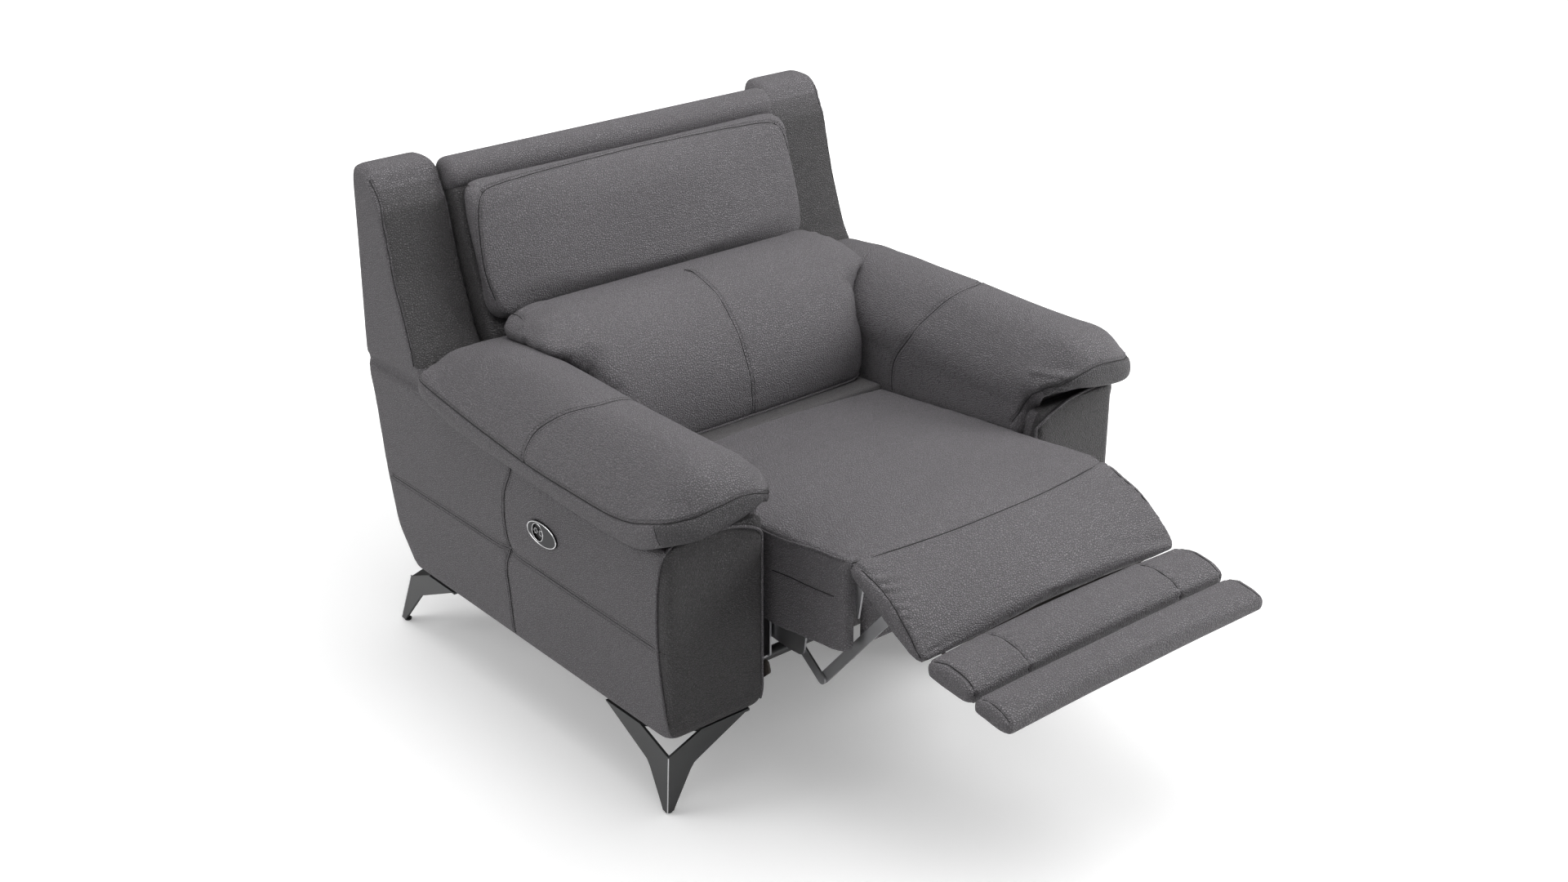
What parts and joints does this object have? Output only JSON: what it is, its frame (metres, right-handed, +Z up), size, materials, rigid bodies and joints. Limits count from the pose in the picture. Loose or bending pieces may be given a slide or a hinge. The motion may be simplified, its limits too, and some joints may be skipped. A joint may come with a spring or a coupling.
{
  "type": "recliner armchair",
  "caption": "Upholstered power recliner armchair with a fold-out footrest, reclining back, tilting headrest, padded arms and folded steel legs.",
  "frame": {"origin": "on the floor, under the middle of the chair's bounding box with the footrest out and the back upright", "axes": "+X towards the sitter's left, +Y towards the chair's rear, +Z up"},
  "size_m": [1.15, 1.5465, 0.98],
  "materials": {
    "leather": "satin",
    "leather_lining": "matte",
    "link_steel": "satin",
    "leg_steel": "satin",
    "chrome": "polished",
    "black_plastic": "matte",
    "webbing": "matte",
    "timber": "matte"
  },
  "bodies": {
    "base": {"arm_right": "leather", "arm_left": "leather", "wing_right": "leather", "wing_left": "leather", "arm_pad_right": "leather", "arm_pad_left": "leather", "rear_panel": "leather_lining", "power_inlet": "black_plastic", "base_rail_right": "link_steel", "base_rail_left": "link_steel", "cross_tubes": "link_steel", "leg_front_right": "leg_steel", "leg_front_left": "leg_steel", "leg_rear_right": "leg_steel", "leg_rear_left": "leg_steel", "leg_screws": "chrome", "leg_glides": "black_plastic", "actuator_motor": "black_plastic", "actuator_rail": "link_steel", "actuator_spindle": "chrome", "switch_bezel": "chrome", "switch_housing": "black_plastic"},
    "button_open": {"button_open": "chrome"},
    "button_close": {"button_close": "chrome"},
    "carriage": {"carriage_right": "link_steel", "carriage_left": "link_steel", "glide_shoes": "black_plastic", "drive_tube": "link_steel", "drive_block": "black_plastic"},
    "seat": {"seat_cushion": "leather", "seat_springs": "link_steel", "skirt_front": "leather_lining", "skirt_right": "leather", "skirt_left": "leather", "seat_rear_rail": "timber", "seat_plate_right": "link_steel", "seat_plate_left": "link_steel", "footrest_lugs": "link_steel"},
    "back": {"back_frame": "timber", "back_webbing": "webbing", "back_bracket_right": "link_steel", "back_bracket_left": "link_steel", "rear_cover": "leather_lining", "top_roll": "leather", "lumbar_cushion": "leather", "headrest_mount": "link_steel"},
    "headrest": {"head_cushion": "leather", "headrest_hinge": "link_steel"},
    "footrest": {"footrest_pad": "leather", "footrest_board": "timber", "footrest_arm_right": "link_steel", "footrest_arm_left": "link_steel"},
    "mid_panel": {"mid_pad": "leather", "mid_board": "timber"},
    "end_panel": {"end_pad": "leather", "end_board": "timber"},
    "front_links": {"front_links": "link_steel"},
    "lift_links": {"lift_links": "link_steel"}
  },
  "joints": [
    {"name": "seat_glide", "type": "slide", "parent": "base", "child": "carriage", "axis": [0, -1, 0], "range_m": [-0.05, 0]},
    {"name": "seat_lift", "type": "slide", "parent": "carriage", "child": "seat", "axis": [0, -0.9703, 0.2419], "range_m": [0, 0.06]},
    {"name": "back_recline", "type": "hinge", "parent": "carriage", "child": "back", "pos_m": [0, 0.5125, 0.4], "axis": [-1, 0, 0], "range_deg": [0, 35]},
    {"name": "headrest_tilt", "type": "hinge", "parent": "back", "child": "headrest", "pos_m": [0, 0.5925, 0.692], "axis": [1, 0, 0], "range_deg": [0, 25]},
    {"name": "footrest_swing", "type": "hinge", "parent": "seat", "child": "footrest", "pos_m": [0, -0.3975, 0.48], "axis": [1, 0, 0], "range_deg": [0, 57]},
    {"name": "mid_fold", "type": "hinge", "parent": "footrest", "child": "mid_panel", "pos_m": [0, -0.57993, 0.4002], "axis": [1, 0, 0], "range_deg": [0, 30]},
    {"name": "end_fold", "type": "hinge", "parent": "mid_panel", "child": "end_panel", "pos_m": [0, -0.68893, 0.3622], "axis": [1, 0, 0], "range_deg": [0, 170]},
    {"name": "front_link_pivot", "type": "hinge", "parent": "seat", "child": "front_links", "pos_m": [0, -0.23208, 0.28383], "axis": [1, 0, 0], "range_deg": [0, 57]},
    {"name": "elbow_pivot", "type": "hinge", "parent": "front_links", "child": "lift_links", "pos_m": [0, -0.2925, 0.239], "axis": [1, 0, 0], "range_deg": [-57, 0]},
    {"name": "open_button_press", "type": "slide", "parent": "base", "child": "button_open", "axis": [1, 0, 0], "range_m": [0, 0.0015], "stiffness_N_per_m": 600, "springref_m": -0.001},
    {"name": "close_button_press", "type": "slide", "parent": "base", "child": "button_close", "axis": [1, 0, 0], "range_m": [0, 0.0015], "stiffness_N_per_m": 600, "springref_m": -0.001}
  ],
  "couplings": [
    {"joint": "footrest_swing", "follows": "seat_glide", "rad_per_m": -19.896},
    {"joint": "front_link_pivot", "follows": "seat_glide", "rad_per_m": -19.896},
    {"joint": "elbow_pivot", "follows": "seat_glide", "rad_per_m": 19.896},
    {"joint": "mid_fold", "follows": "seat_glide", "rad_per_m": -10.471},
    {"joint": "end_fold", "follows": "seat_glide", "rad_per_m": -59.336},
    {"joint": "seat_lift", "follows": "back_recline", "m_per_rad": 0.0982}
  ]
}
